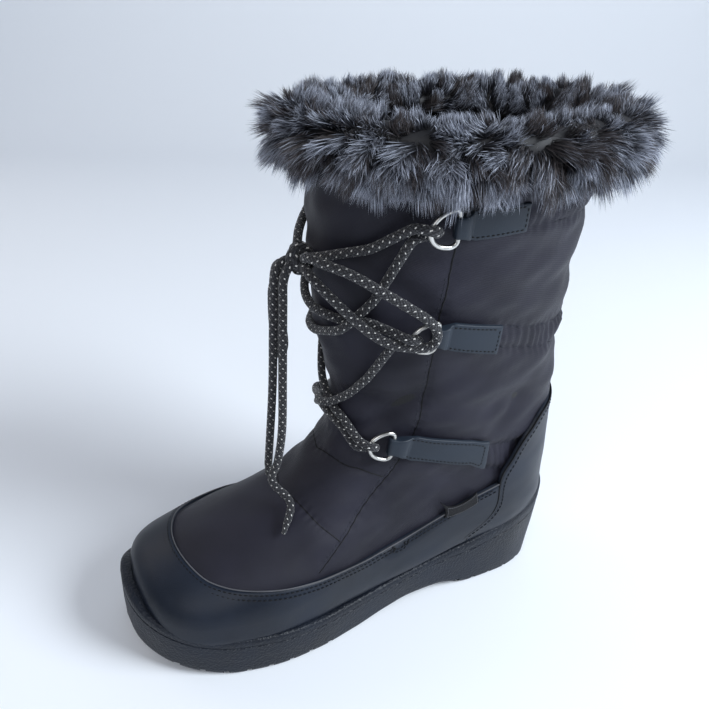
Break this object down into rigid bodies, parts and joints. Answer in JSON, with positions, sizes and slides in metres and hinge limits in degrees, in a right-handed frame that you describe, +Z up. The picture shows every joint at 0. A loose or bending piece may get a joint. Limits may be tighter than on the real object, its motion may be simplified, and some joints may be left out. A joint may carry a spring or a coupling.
{
  "type": "snow boot",
  "caption": "Mid-calf lace-up snow boot: padded fabric shaft, long-pile fur cuff, smooth rand and heel counter, straps with D-rings and a pale-flecked lace on a rubber cup sole.",
  "frame": {"origin": "middle of the heel's flat spot, in the plane that the boot stands on", "axes": "+Z up along the shaft; -Y towards the toe; +X towards the lateral side of this left boot"},
  "size_m": [0.1432, 0.282, 0.293],
  "materials": {
    "nylon": "tightly woven padded nylon",
    "leatherette": "smooth coated leatherette with a soft shine",
    "fur": "long faux fur, dark at the root and silver at the tips",
    "sole_rubber": "matte moulded rubber with a fine pebble",
    "footbed": "felted footbed",
    "ring_metal": "nickelled steel wire",
    "lace": "round braid with pale flecks"
  },
  "bodies": {
    "root": {"unit_sole": "sole_rubber", "insole": "footbed", "upper": "nylon", "rand": "leatherette", "heel_counter": "leatherette", "fur_collar": "fur", "strap_lateral_1": "leatherette", "dring_lateral_1": "ring_metal", "strap_lateral_2": "leatherette", "dring_lateral_2": "ring_metal", "strap_lateral_3": "leatherette", "dring_lateral_3": "ring_metal", "strap_medial_1": "leatherette", "dring_medial_1": "ring_metal", "strap_medial_2": "leatherette", "dring_medial_2": "ring_metal", "strap_medial_3": "leatherette", "dring_medial_3": "ring_metal", "lace_cross_lower": "lace", "lace_cross_upper": "lace", "lace_top_lateral": "lace", "lace_top_medial": "lace", "lace_knot": "lace", "lace_loop_lateral": "lace", "lace_loop_medial": "lace", "lace_end_1": "lace", "lace_end_2": "lace"}
  },
  "joints": []
}
